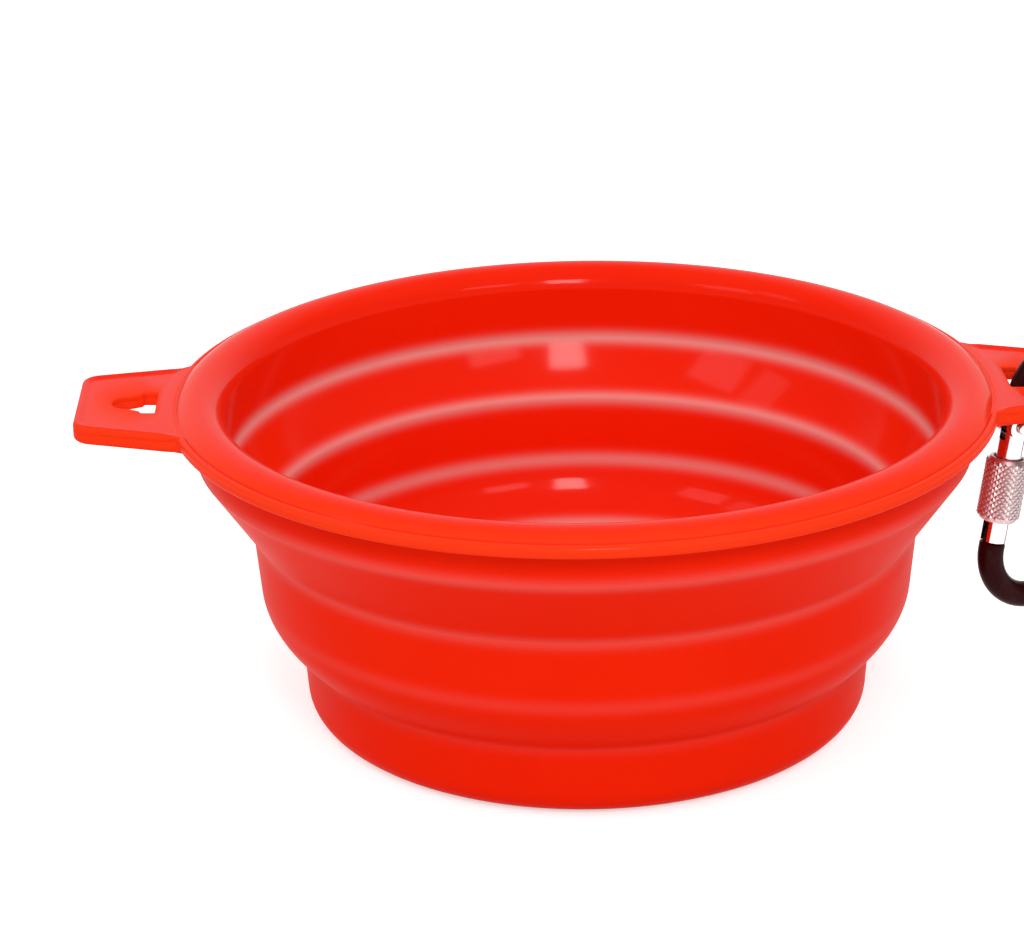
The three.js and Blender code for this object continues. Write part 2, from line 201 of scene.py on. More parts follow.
class BowlColours(bpy.types.PropertyGroup):
    """Colours of the bowl, the clip and the studio."""

    silicone: colour("Silicone", "Red of the moulded wall", (0.87, 0.0185, 0.0012, 1))
    silicone_deep: colour("Deep silicone", "Deeper red in the tone's variation", (0.83, 0.013, 0.001, 1))
    # Painted light: a lighter, more orange red for the rim's outer slope, its bead and the ears' sides,
    # where they face the light.
    silicone_painted_light: colour("Thin silicone", "Lighter red of the rim and ear edges", (0.91, 0.038, 0.007, 1))
    # Pale line along each bend: partly the hinge's own paler silicone, partly a painted highlight.
    hinge_pale_and_highlight: colour("Hinge line", "Pale tone where the wall is thin", (0.79, 0.285, 0.26, 1))
    black_coat: colour("Black coat", "Coating of the rod", (0.026, 0.0025, 0.003, 1))
    black_worn: colour("Worn coat", "Rubbed patches of the coating", (0.045, 0.009, 0.01, 1))
    # The pink tint of these two metals is a painted reflection of the red bowl, stronger on the sleeve.
    silver: colour("Silver", "Polished gate and rivet", (0.86, 0.80, 0.80, 1))
    sleeve: colour("Sleeve", "Knurled sleeve", (0.8, 0.64, 0.64, 1))
    # Duller tone: real in the random marks, painted shade between the knurl's diamonds and on the sleeve's
    # body.
    silver_marks_and_shade: colour("Silver groove", "Dull metal in marks and between diamonds", (0.58, 0.46, 0.46, 1))
    steel: colour("Spring steel", "Spring and plunger", (0.56, 0.56, 0.58, 1))
    floor: colour("Floor", "Floor and backdrop", (0.8, 0.8, 0.8, 1))


# Meshes


def link(name, data):
    made = bpy.data.objects.new(name, data)
    bpy.context.scene.collection.objects.link(made)
    return made


def set_values(mesh, values):
    """Stores a number on each point for every name given."""
    for key, numbers in values.items():
        mesh.attributes.new(key, "FLOAT", "POINT").data.foreach_set("value", list(numbers))


def line_mesh(name, points, closed, **values):
    """A line of edges through the points, with a value on each point for every name given."""
    count = len(points)
    edges = [(i, i + 1) for i in range(count - 1)]
    if closed:
        edges.append((count - 1, 0))
    mesh = bpy.data.meshes.new(name)
    mesh.from_pydata([tuple(p) for p in points], edges, [])
    set_values(mesh, values)
    return mesh


def plain(name, maker):
    """A plain mesh object with the shape that the maker's modifiers give; the maker is removed."""
    graph = bpy.context.evaluated_depsgraph_get()
    made = bpy.data.meshes.new_from_object(
        maker.evaluated_get(graph), preserve_all_data_layers=True, depsgraph=graph
    )
    bpy.data.objects.remove(maker)
    if not made.polygons:
        raise RuntimeError(f"{name}: no faces were made")
    made.name = name
    return link(name, made)


def run_tree(name, mesh, tree, **inputs):
    """A plain mesh object, made by running a node tree over the starting mesh."""
    maker = link(name + "_maker", mesh)
    modifier = maker.modifiers.new("Shape", "NODES")
    modifier.node_group = tree
    known = {item.name: item.identifier for item in tree.interface.items_tree if item.in_out == "INPUT"}
    for key, value in inputs.items():
        modifier[known[key.capitalize()]] = value
    return plain(name, maker)


def smooth(piece, angle=35):
    piece.data.shade_smooth()
    piece.data.set_sharp_from_angle(angle=math.radians(angle))
    return piece


def outward(piece):
    """Merges doubles and turns every face outwards."""
    work = bmesh.new()
    work.from_mesh(piece.data)
    bmesh.ops.remove_doubles(work, verts=work.verts, dist=MERGE)
    bmesh.ops.recalc_face_normals(work, faces=work.faces)
    work.to_mesh(piece.data)
    work.free()
    return piece


def finished(piece, material):
    piece.data.materials.clear()
    piece.data.materials.append(material)
    return piece


# Node trees

TURN_RADIUS = 10 * MM
STUD_TOP = 0.22  # flat top of a knurl diamond, as a share of its foot
BAR_INPUTS = [("Sides", "Int"), ("Material", "Material")]


def feed(tree, node, inputs):
    """Gives each named or numbered input a plain value, or links another node's output to it."""
    for key, value in inputs.items():
        if hasattr(value, "is_output"):
            tree.links.new(value, node.inputs[key])
        else:
            node.inputs[key].default_value = value


def add(tree, kind, inputs=None, **settings):
    """A new node with its settings made and its inputs fed."""
    node = tree.nodes.new(kind)
    for key, value in settings.items():
        setattr(node, key, value)
    feed(tree, node, inputs or {})
    return node


def maths(tree, operation, *values):
    """The result of one Math node; each value is a number or another node's output."""
    return add(tree, "ShaderNodeMath", dict(enumerate(values)), operation=operation).outputs[0]


def new_tree(name, sockets):
    """A tree that makes geometry from geometry and the named inputs."""
    tree = bpy.data.node_groups.new(name, "GeometryNodeTree")
    tree.interface.new_socket("Geometry", in_out="INPUT", socket_type="NodeSocketGeometry")
    for key, kind in sockets:
        tree.interface.new_socket(key, in_out="INPUT", socket_type="NodeSocket" + kind)
    tree.interface.new_socket("Geometry", in_out="OUTPUT", socket_type="NodeSocketGeometry")
    return tree, tree.nodes.new("NodeGroupInput").outputs


def close_tree(tree, given, result):
    """Ends a tree: copies become real meshes, and the material is set."""
    whole = add(tree, "GeometryNodeRealizeInstances", {"Geometry": result}).outputs[0]
    paint = add(tree, "GeometryNodeSetMaterial", {"Geometry": whole, "Material": given["Material"]})
    add(tree, "NodeGroupOutput", {"Geometry": paint.outputs[0]})
    return tree


def turned_tree():
    """Turns a profile about Z. The profile's X is measured from a circle of TURN_RADIUS, its Y runs down."""
    name = "Turned ring"
    if name in bpy.data.node_groups:
        return bpy.data.node_groups[name]
    tree, given = new_tree(name, BAR_INPUTS)
    profile = add(tree, "GeometryNodeMeshToCurve", {"Mesh": given["Geometry"]}).outputs[0]
    size = {"Resolution": given["Sides"], "Radius": TURN_RADIUS}
    circle = add(tree, "GeometryNodeCurvePrimitiveCircle", size).outputs[0]
    sweep = add(tree, "GeometryNodeCurveToMesh", {"Curve": circle, "Profile Curve": profile}).outputs[0]
    merge = add(tree, "GeometryNodeMergeByDistance", {"Geometry": sweep, "Distance": MERGE})
    return close_tree(tree, given, merge.outputs[0])


def swept_tree():
    """A round bar along a line, as thick as the line's girth attribute says."""
    name = "Bar along a line"
    if name in bpy.data.node_groups:
        return bpy.data.node_groups[name]
    tree, given = new_tree(name, BAR_INPUTS)
    path = add(tree, "GeometryNodeMeshToCurve", {"Mesh": given["Geometry"]}).outputs[0]
    girth = add(tree, "GeometryNodeInputNamedAttribute", {"Name": "girth"}).outputs["Attribute"]
    size = {"Resolution": given["Sides"], "Radius": 1.0}
    circle = add(tree, "GeometryNodeCurvePrimitiveCircle", size).outputs[0]
    along = {"Curve": path, "Profile Curve": circle, "Scale": girth, "Fill Caps": True}
    return close_tree(tree, given, add(tree, "GeometryNodeCurveToMesh", along).outputs[0])


def stud(tree, size):
    """One diamond of the knurl, pointing along X, with its height as the crest attribute."""
    shape = {"Vertices": 4, "Radius Top": STUD_TOP, "Radius Bottom": 1.0, "Depth": 1.0}
    cone = add(tree, "GeometryNodeMeshCone", shape, fill_type="NGON").outputs["Mesh"]
    place = add(tree, "GeometryNodeInputPosition").outputs[0]
    height = add(tree, "ShaderNodeSeparateXYZ", {0: place}).outputs["Z"]
    stored = {"Geometry": cone, "Name": "crest", "Value": height}
    crest = add(tree, "GeometryNodeStoreNamedAttribute", stored, data_type="FLOAT", domain="POINT")
    lying = {"Geometry": crest.outputs[0], "Rotation": (0, math.pi / 2, 0)}
    lay = add(tree, "GeometryNodeTransform", lying).outputs[0]
    return add(tree, "GeometryNodeTransform", {"Geometry": lay, "Scale": size}).outputs[0]


def knurl_tree():
    """Diamonds round a bar along Z: each row stands half a step on from the one below it."""
    sockets = [(key, "Float") for key in ("Radius", "Low", "High", "Depth")]
    sockets += [("Count", "Int"), ("Rows", "Int"), ("Material", "Material")]
    tree, given = new_tree("Knurl", sockets)
    calc = partial(maths, tree)
    radius, low, high, count, rows = (given[key] for key in ("Radius", "Low", "High", "Count", "Rows"))
    index = add(tree, "GeometryNodeInputIndex").outputs[0]
    row = calc("FLOOR", calc("DIVIDE", index, count))
    shift = calc("MULTIPLY", calc("MODULO", row, 2), 0.5)
    place = calc("ADD", calc("MODULO", index, count), shift)
    angle = calc("MULTIPLY", calc("DIVIDE", place, count), math.tau)
    step = calc("DIVIDE", calc("SUBTRACT", high, low), calc("ADD", rows, 1))
    height = calc("ADD", low, calc("MULTIPLY", calc("ADD", row, 1), step))
    x = calc("MULTIPLY", radius, calc("COSINE", angle))
    y = calc("MULTIPLY", radius, calc("SINE", angle))
    spot = add(tree, "ShaderNodeCombineXYZ", {"X": x, "Y": y, "Z": height}).outputs[0]
    places = {"Count": calc("MULTIPLY", count, rows), "Position": spot}
    spots = add(tree, "GeometryNodePoints", places).outputs[0]
    turn = add(tree, "ShaderNodeCombineXYZ", {"Z": angle}).outputs[0]
    width = calc("DIVIDE", calc("MULTIPLY", radius, math.pi), count)
    size = add(tree, "ShaderNodeCombineXYZ", {"X": given["Depth"], "Y": width, "Z": step}).outputs[0]
    laid = {"Points": spots, "Instance": stud(tree, size), "Rotation": turn}
    return close_tree(tree, given, add(tree, "GeometryNodeInstanceOnPoints", laid).outputs[0])


# Materials


def fine_grain():
    """Group: slow tone of the surface, and the height of its fine grain."""
    name = "Fine grain"
    if name in bpy.data.node_groups:
        return bpy.data.node_groups[name]
    group = bpy.data.node_groups.new(name, "ShaderNodeTree")
    rows = (("Tone scale", "Tone", 4.0), ("Grain scale", "Height", 2.0))
    for scale, result, _ in rows:
        group.interface.new_socket(scale, in_out="INPUT", socket_type="NodeSocketFloat")
        group.interface.new_socket(result, in_out="OUTPUT", socket_type="NodeSocketFloat")
    given = add(group, "NodeGroupInput").outputs
    out = add(group, "NodeGroupOutput")
    place = add(group, "ShaderNodeTexCoord").outputs["Object"]
    for scale, result, detail in rows:
        noise = add(group, "ShaderNodeTexNoise", {"Vector": place, "Scale": given[scale], "Detail": detail})
        feed(group, out, {result: noise.outputs["Fac"]})
    return group


def new_material(name):
    material = bpy.data.materials.new(name)
    material.use_nodes = True
    tree = material.node_tree
    return material, tree, tree.nodes["Principled BSDF"]


def grain_node(tree, tone_scale, grain_scale):
    scales = {"Tone scale": tone_scale, "Grain scale": grain_scale}
    return add(tree, "ShaderNodeGroup", scales, node_tree=fine_grain()).outputs


def bump(tree, height, strength, distance):
    values = {"Strength": strength, "Distance": distance, "Height": height}
    return add(tree, "ShaderNodeBump", values).outputs["Normal"]


def blend_colours(tree, share, first, second):
    """The first colour where share is 0 and the second where it is 1."""
    return add(tree, "ShaderNodeMix", {"Factor": share, 6: first, 7: second}, data_type="RGBA").outputs[2]


def choose(tree, share, first, second):
    """The first value where share is 0 and the second where it is 1; each is a socket or a number."""
    return add(tree, "ShaderNodeMix", {"Factor": share, "A": first, "B": second}).outputs["Result"]


def ramp(tree, value, low, high, to_low, to_high):
    """The value carried from one range to another and held at its ends."""
    ends = {"From Min": low, "From Max": high, "To Min": to_low, "To Max": to_high}
    return add(tree, "ShaderNodeMapRange", {"Value": value, **ends}).outputs["Result"]


def by_tone(tree, grain, low, high):
    """A value that follows the surface's slow tone over its usual range."""
    return ramp(tree, grain["Tone"], 0.3, 0.7, low, high)


def attribute(tree, name):
    return add(tree, "ShaderNodeAttribute", attribute_name=name).outputs["Fac"]


def silicone():
    """Satin red silicone, glossier inside and on top, with a pale line along each bend that is partly a
    painted highlight, and painted light on the rim's outer slope, its bead, and the ears' sides and hole
    walls.
    """
    name = "Red silicone"
    if name in bpy.data.materials:
        return bpy.data.materials[name]
    colours = bpy.context.scene.bowl_colours
    material, tree, shader = new_material(name)
    grain = grain_node(tree, 45.0, 1600.0)
    red = blend_colours(tree, grain["Tone"], colours.silicone_deep, colours.silicone)
    # Painted light: a lighter, more orange red where the rim's outer slope, bead and ear sides face the
    # light.
    with_painted_light = blend_colours(tree, attribute(tree, "thin"), red, colours.silicone_painted_light)
    glossy = attribute(tree, "gloss")
    rough = ramp(tree, glossy, 0, 1, 0.42, 0.36)
    spread = by_tone(tree, grain, -0.05, 0.05)
    look = {
        # The pale lines along the bends: partly the hinge's own paler silicone, partly a painted highlight.
        "Base Color": blend_colours(tree, attribute(tree, "pale"), with_painted_light, colours.hinge_pale_and_highlight),
        "Roughness": maths(tree, "ADD", rough, spread),
        "Coat Weight": maths(tree, "MULTIPLY", glossy, 0.32),
        "Coat Roughness": 0.1,
        "Specular IOR Level": 0.02,
        "Normal": bump(tree, grain["Height"], 0.12, 0.00008),
    }
    feed(tree, shader, look)
    return material


def black_coat():
    """Gloss black coating with a little orange peel."""
    colours = bpy.context.scene.bowl_colours
    material, tree, shader = new_material("Black coat")
    grain = grain_node(tree, 260.0, 1300.0)
    worn = ramp(tree, grain["Tone"], 0.55, 0.75, 0, 1)
    look = {
        "Base Color": blend_colours(tree, worn, colours.black_coat, colours.black_worn),
        "Roughness": by_tone(tree, grain, 0.24, 0.36),
        "Specular IOR Level": 0.03,
        "Coat Weight": 0.05,
        "Coat Roughness": 0.15,
        "Normal": bump(tree, grain["Height"], 0.1, 0.00005),
    }
    feed(tree, shader, look)
    return material


def metal(name, tone, smoothest, roughest, crest=False):
    """Bright metal with faint marks; a duller tone shows in the marks, and as painted shade between the
    knurl's diamonds, darker towards their feet.
    """
    if name in bpy.data.materials:
        return bpy.data.materials[name]
    marks_and_shade = bpy.context.scene.bowl_colours.silver_marks_and_shade
    material, tree, shader = new_material(name)
    grain = grain_node(tree, 350.0, 2600.0)
    if crest:
        # Painted shade: darker towards the feet of the knurl's diamonds.
        share = maths(tree, "SUBTRACT", 1.0, attribute(tree, "crest"))
    else:
        share = ramp(tree, grain["Tone"], 0.35, 0.7, 0, 0.35)
    look = {
        "Base Color": blend_colours(tree, share, tone, marks_and_shade),
        "Roughness": by_tone(tree, grain, smoothest, roughest),
        "Metallic": 1.0,
        "Normal": bump(tree, grain["Height"], 0.06, 0.00003),
    }
    feed(tree, shader, look)
    return material


def silver():
    return metal("Polished silver", bpy.context.scene.bowl_colours.silver, 0.08, 0.16)


def knurled_silver():
    return metal("Knurled silver", bpy.context.scene.bowl_colours.sleeve, 0.34, 0.46, crest=True)


def spring_steel():
    return metal("Spring steel", bpy.context.scene.bowl_colours.steel, 0.22, 0.36)


# Lines and profiles

ARC_STEP = math.radians(9)
ALMOST_STRAIGHT = math.radians(89.5)  # half the angle at a corner that needs no rounding
WALL_STEP = 0.5 * MM
FOLD_PARTS = 12
FLOOR_ROUND = 2.5 * MM  # inside, between floor and wall
CROWN_END = math.radians(-70)  # the dome's inner end, from its highest line
CROWN_POINTS = 36
UNDER_RIM_ROUND = 0.8 * MM
RIM_EDGE_ROUND = 0.7 * MM
BEAD_ROUND = 0.75 * MM
CREASE_WIDTH = 0.15 * MM
CREASE_ROUND = 0.08 * MM
MOUTH_ROUND = 1.5 * MM

# Strength of the pale line at each bend, from the base upwards; the line is partly the hinge's own paler
# silicone and partly a painted highlight
OUTER_PALENESS = (0.06, 0.08, 0.17, 0.2)
INNER_PALENESS = (0.8, 0.85, 0.92, 1.0)


def arc(centre, radius, angles):
    """Points on a circle at the given angles."""
    return [Vector((centre[0] + radius * math.cos(a), centre[1] + radius * math.sin(a))) for a in angles]


def mirrored(points):
    return [Vector((p.x, -p.y)) for p in points]


def rounded(corners):
    """The line through (x, y, radius) corners with each corner rounded by its radius."""
    points = [Vector(corners[0][:2])]
    for before, corner, after in zip(corners, corners[1:], corners[2:]):
        here = Vector(corner[:2])
        back = (Vector(before[:2]) - here).normalized()
        on = (Vector(after[:2]) - here).normalized()
        half = back.angle(on) / 2
        if corner[2] <= 0 or half > ALMOST_STRAIGHT:
            points.append(here)
            continue
        reach = corner[2] / math.tan(half)
        centre = here + (back + on).normalized() * (corner[2] / math.sin(half))
        start = here + back * reach - centre
        end = here + on * reach - centre
        sweep = start.angle_signed(end)
        steps = max(2, math.ceil(abs(sweep) / ARC_STEP))
        for i in range(steps + 1):
            points.append(centre + Matrix.Rotation(-sweep * i / steps, 2) @ start)
    points.append(Vector(corners[-1][:2]))
    return points


def fine(points, step):
    """The same line with no stretch longer than step."""
    made = [points[0]]
    for a, b in zip(points, points[1:]):
        parts = max(1, math.ceil((b - a).length / step))
        made += [a.lerp(b, (i + 1) / parts) for i in range(parts)]
    return made


def cut(points, low, high):
    """The part of a rising line between two heights, with points on the cuts."""
    made = []
    for a, b in zip(points, points[1:]):
        rise = b.y - a.y
        ends = [a, b]
        if rise > TINY:
            ends = [a.lerp(b, min(1, max(0, (level - a.y) / rise))) for level in (low, high)]
        if max(p.y for p in ends) < low - TINY or min(p.y for p in ends) > high + TINY:
            continue
        for p in ends:
            if not made or (p - made[-1]).length > MERGE:
                made.append(p)
    return made


def bowed(start, end, bow):
    """Points of a fold between its two ends, bulging outwards."""
    made = []
    for i in range(1, FOLD_PARTS):
        t = i / FOLD_PARTS
        r = start[0] + (end[0] - start[0]) * t + bow * 4 * t * (1 - t)
        made.append((r, start[1] + (end[1] - start[1]) * t, 0))
    return made


def bends(sizes, inside):
    """The wall's four bends as (radius, height), from the base upwards."""
    wall = sizes.wall if inside else 0.0
    made = [
        (sizes.base_top_radius - wall, BASE_TOP),
        (sizes.middle_radius - wall, MIDDLE_BOTTOM),
        (sizes.middle_top_radius - wall, MIDDLE_TOP),
    ]
    if inside:
        return made + [(sizes.collar_radius - sizes.collar_wall, COLLAR_BOTTOM - sizes.collar_bend)]
    return made + [(sizes.collar_radius, COLLAR_BOTTOM)]


def outer_line(sizes):
    """The wall's outside from the axis up to the rim's underside."""
    tight = sizes.bend_round * 0.8
    wide = sizes.bend_round * 1.6
    first, second, third, fourth = bends(sizes, False)
    corners = [(0, 0, 0), (sizes.base_radius, 0, sizes.foot_round)]
    corners += [(*first, tight), *bowed(first, second, sizes.lower_bow), (*second, wide)]
    corners += [(*third, tight), (*fourth, sizes.bend_round), (sizes.collar_top_radius, RIM_BOTTOM, 0)]
    return fine(rounded(corners), WALL_STEP)


def inner_line(sizes):
    """The wall's inside from the axis to a little above the collar's seam."""
    soft = sizes.bend_round * 1.4
    first, second, third, fourth = bends(sizes, True)
    corners = [(0, sizes.floor, 0), (sizes.base_radius - sizes.wall, sizes.floor, FLOOR_ROUND)]
    corners += [(*first, sizes.bend_round), *bowed(first, second, sizes.lower_bow), (*second, soft)]
    corners += [(*third, soft), *bowed(third, fourth, sizes.upper_bow), (*fourth, soft)]
    corners.append((fourth[0], COLLAR_SEAM + WALL_STEP, 0))
    return fine(rounded(corners), WALL_STEP)


def crown(sizes):
    """The rim's domed top, from the bead's crease to the inner edge."""
    middle = sizes.rim_radius - sizes.crown_inset
    round_by = sizes.crown_radius
    crease = math.asin((sizes.crown_inset - sizes.bead_width) / round_by)
    made = []
    for a in np.linspace(crease, CROWN_END, CROWN_POINTS):
        made.append((middle + round_by * math.sin(a), RIM_TOP - round_by * (1 - math.cos(a)), 0))
    return made


def bead_top(sizes):
    return crown(sizes)[0][1] + sizes.groove


def rim_line(sizes):
    """The collar and rim, up the outside and down the inside."""
    rim = sizes.rim_radius
    wall = sizes.collar_radius - sizes.collar_wall
    dome = crown(sizes)
    bead = bead_top(sizes)
    share = (COLLAR_SEAM - COLLAR_BOTTOM) / (RIM_BOTTOM - COLLAR_BOTTOM)
    corners = [
        (sizes.collar_radius + (sizes.collar_top_radius - sizes.collar_radius) * share, COLLAR_SEAM, 0),
        (sizes.collar_top_radius, RIM_BOTTOM, UNDER_RIM_ROUND),
        (rim, RIM_BOTTOM, RIM_EDGE_ROUND),
        (rim, bead, BEAD_ROUND),
        (dome[0][0] + CREASE_WIDTH, bead, CREASE_ROUND),
        *dome,
        (wall, RIM_BOTTOM, MOUTH_ROUND),
        (wall, COLLAR_SEAM, 0),
    ]
    return fine(rounded(corners), WALL_STEP)


def paleness(sizes, point, inside):
    """How pale the silicone is at a point of the profile, near a bend: partly the hinge's own paler
    silicone, partly a painted highlight.
    """
    total = 0.0
    for place, share in zip(bends(sizes, inside), INNER_PALENESS if inside else OUTER_PALENESS):
        total += share * math.exp(-0.5 * ((point - Vector(place)).length / sizes.line_width) ** 2)
    return min(1.0, total)


def turned(name, profile, closed, material, sides, **values):
    """A piece turned about Z from (radius, height) points."""
    points = [(p.x - TURN_RADIUS, -p.y, 0) for p in profile]
    mesh = line_mesh(name, points, closed, **values)
    return smooth(outward(run_tree(name, mesh, turned_tree(), sides=sides, material=material)))


def skin(name, outer, inner, closed):
    """A turned piece of the bowl's wall, with its pale lines, partly painted highlight, and its glossier
    inside.
    """
    sizes = bpy.context.scene.bowl_sizes
    inner = inner[::-1]
    pale_outside = [paleness(sizes, p, False) for p in outer]
    pale_inside = [paleness(sizes, p, True) for p in inner]
    gloss = [0.0] * len(outer) + [1 - share for share in pale_inside]
    pale = pale_outside + pale_inside
    return turned(name, outer + inner, closed, silicone(), sizes.sides, pale=pale, gloss=gloss)


# Pieces of the bowl

RIM_GLOSS = 0.85
BEAD_GLOSS = 0.5  # share of the rim's gloss that the bead has
GLOSS_START = 1.4 * MM  # above the rim's underside
GROOVE_FADE = 0.5 * MM
CROWN_DEPTH = 2 * MM  # the painted lighter tone of the rim's top ends this far below the highest line


class BOWL_OT_base(bpy.types.Operator):
    """Base cup with its rounded foot."""

    bl_idname = "bowl.base"
    bl_label = "Base cup"

    def execute(self, context):
        sizes = context.scene.bowl_sizes
        outer = cut(outer_line(sizes), 0, BASE_SEAM)
        inner = cut(inner_line(sizes), 0, BASE_SEAM)
        piece = skin("base_skin", outer, inner, False)
        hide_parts("base_cup")
        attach(piece, "base")
        return {"FINISHED"}


class BOWL_OT_bands(bpy.types.Operator):
    """The two folds and the upright band between them."""

    bl_idname = "bowl.bands"
    bl_label = "Folds and middle band"

    def execute(self, context):
        sizes = context.scene.bowl_sizes
        outer = outer_line(sizes)
        inner = inner_line(sizes)

        def ring(name, low, high):
            piece = skin(name, cut(outer, low, high), cut(inner, low, high), True)
            return piece

        lower = ring("lower_fold_skin", BASE_SEAM, MIDDLE_LOW_SEAM)
        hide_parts("hinge_ring_1", "lower_fold", "hinge_ring_2")
        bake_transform(lower)
        band = ring("middle_band_skin", MIDDLE_LOW_SEAM, MIDDLE_HIGH_SEAM)
        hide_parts("middle_band")
        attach(band, "middle")
        upper = ring("upper_fold_skin", MIDDLE_HIGH_SEAM, COLLAR_SEAM)
        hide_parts("hinge_ring_3", "upper_fold", "hinge_ring_4")
        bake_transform(upper)
        return {"FINISHED"}


class BOWL_OT_rim(bpy.types.Operator):
    """Collar and domed rim, with a bead along the rim's outside."""

    bl_idname = "bowl.rim"
    bl_label = "Collar and rim"

    def execute(self, context):
        sizes = context.scene.bowl_sizes
        line = rim_line(sizes)
        top = max(range(len(line)), key=lambda i: line[i].y)
        peak = line[top]
        crease = sizes.rim_radius - sizes.bead_width
        groove = Vector(crown(sizes)[0][:2])
        pale = [paleness(sizes, p, i > top) for i, p in enumerate(line)]
        gloss = []
        # Painted light: a lighter red on the dome's outer slope and the bead, which face the light, fading
        # out at the groove.
        thin = []
        for i, p in enumerate(line):
            on_bead = p.x > crease - MERGE
            out = (p.x - peak.x) / (crease - peak.x)
            share = min(1.0, max(0.0, out), (p - groove).length / GROOVE_FADE)
            sheen = RIM_GLOSS if i > top or p.y > RIM_BOTTOM + GLOSS_START else 0.0
            gloss.append((1 - pale[i]) * sheen * (BEAD_GLOSS if on_bead else 1.0))
            thin.append(share if on_bead or p.y > peak.y - CROWN_DEPTH else 0.0)
        piece = turned("rim_skin", line, True, silicone(), sizes.sides, pale=pale, gloss=gloss, thin=thin)
        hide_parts("collar_band", "rim_ring")
        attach(piece, "rim")
        return {"FINISHED"}


# Ears

FLARE_PARTS = 10
FLARE_START = 7  # first part of the root's fillet that shows outside the rim
ROOT_DEPTH = 4.6 * MM  # how far the ear's sides go on inside the rim
OUTLINE_STEP = 0.8 * MM
BACK_POINTS = 24
HOLE_CORNER = 0.35 * MM
HOLE_STEP = 0.6 * MM
TIP_POINTS = 12
EASE_START = 1.7 * MM  # inside the rim, where an inset begins to grow
EASE_LENGTH = MM
EDGE_RINGS = 6
SEAM_PLACE = 0.6  # share of the ear's thickness below the parting line
SEAM_HALF = 0.12 * MM
PANEL_SUPPORT = 0.3 * MM  # ring inside the lip's foot, which keeps the panel flat
ROOT_STEPS = np.arange(-1.2, 1.5, 0.2) * MM  # arcs of points beside the rim
ROOT_ANGLES = np.linspace(-0.5, 0.5, 61)
SPOT_GAP = 0.3 * MM
FLUSH_GAP = 0.05 * MM
FILL_INSIDE = 1  # triangulation keeps what the lines enclose
FILL_TOLERANCE = 1e-6
EAR_SMOOTH = 40


def ear_outline(ears, rim_radius):
    """The ear's outline, counter-clockwise, with its root inside the rim."""
    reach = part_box("right_ear")[1].x
    root = Vector((math.sqrt(rim_radius**2 - ears.root_half**2), ears.root_half))
    end = Vector((reach, ears.end_half))
    along = (end - root).normalized()
    out = Vector((-along.y, along.x))
    fillet = ears.root_fillet
    base = root + out * fillet
    far = rim_radius + fillet
    b = base.dot(along)
    centre = base + along * (-b + math.sqrt(b * b - base.length_squared + far * far))
    on_rim = centre * (rim_radius / far)
    on_side = centre - out * fillet
    start = on_rim - centre
    sweep = start.angle_signed(on_side - centre)
    parts = range(FLARE_START, FLARE_PARTS + 1)
    flare = [centre + Matrix.Rotation(-sweep * i / FLARE_PARTS, 2) @ start for i in parts]
    hidden = flare[0] + (flare[0] - flare[1]).normalized() * ROOT_DEPTH
    corner = rounded([(*on_side, 0), (*end, ears.corner), (reach, 0, 0)])
    upper = fine([hidden, *flare, *corner[1:]], OUTLINE_STEP)
    angle = math.atan2(hidden.y, hidden.x)
    back = arc((0, 0), hidden.length, np.linspace(angle, -angle, BACK_POINTS)[1:-1])
    return mirrored(upper) + upper[::-1][1:] + back


def ear_hole(ears):
    """The hole's outline, counter-clockwise: a wide slot that narrows to a round end."""
    slot_end = ears.hole_start + ears.slot_length
    upper = [
        (ears.hole_start, 0, 0),
        (ears.hole_start, ears.slot_half, HOLE_CORNER),
        (slot_end, ears.slot_half, HOLE_CORNER),
        (slot_end, ears.neck_half, HOLE_CORNER),
        (ears.tip_centre, ears.tip_radius, 0),
    ]
    tip = arc((ears.tip_centre, 0), ears.tip_radius, np.linspace(math.pi / 2, 0, TIP_POINTS)[1:])
    top = fine(rounded(upper) + tip, HOLE_STEP)
    return mirrored(top) + top[::-1][1:-1]


def inset(loop, distance, rim_radius):
    """A closed counter-clockwise line moved inwards, except where it is buried in the rim."""
    made = []
    for i, here in enumerate(loop):
        way = (loop[(i + 1) % len(loop)] - loop[i - 1]).normalized()
        share = min(1.0, max(0.0, (here.length - rim_radius + EASE_START) / EASE_LENGTH))
        made.append(here + Vector((-way.y, way.x)) * distance * share)
    return made


def edge_levels(ears, edge, low, high):
    """Height and inset of each ring of a rounded edge, with a fine parting line above the middle."""
    seam = low + SEAM_PLACE * (high - low)
    rings = []
    for a in np.linspace(0, math.pi / 2, EDGE_RINGS):
        rings.append((low + edge * (1 - math.sin(a)), edge * (1 - math.cos(a))))
    above = [(low + high - z, d) for z, d in rings]
    return rings[::-1] + [(seam - SEAM_HALF, 0), (seam, ears.seam), (seam + SEAM_HALF, 0)] + above


def lip_levels(ears, low, high):
    """The rings of the ear's outer edge, with the lip that stands round the panel on both faces."""
    foot = ears.lip + ears.lip_slope
    flat = foot + PANEL_SUPPORT
    below = [(low + ears.panel, flat), (low + ears.panel, foot), (low, ears.lip)]
    above = [(low + high - z, d) for z, d in below[::-1]]
    return below + edge_levels(ears, ears.edge, low, high) + above


def inside_loop(point, loop):
    """Whether a point lies inside a closed line."""
    within = False
    for a, b in zip(loop, loop[1:] + loop[:1]):
        if (a.y > point.y) != (b.y > point.y):
            within ^= point.x < a.x + (point.y - a.y) / (b.y - a.y) * (b.x - a.x)
    return within


def root_spots(outline, rim_radius):
    """Points on arcs beside the rim, which let the ear's top curve up to it."""
    made = []
    for step in ROOT_STEPS:
        for spot in arc((0, 0), rim_radius + step, ROOT_ANGLES):
            if inside_loop(spot, outline) and min((spot - p).length for p in outline) > SPOT_GAP:
                made.append(spot)
    return made


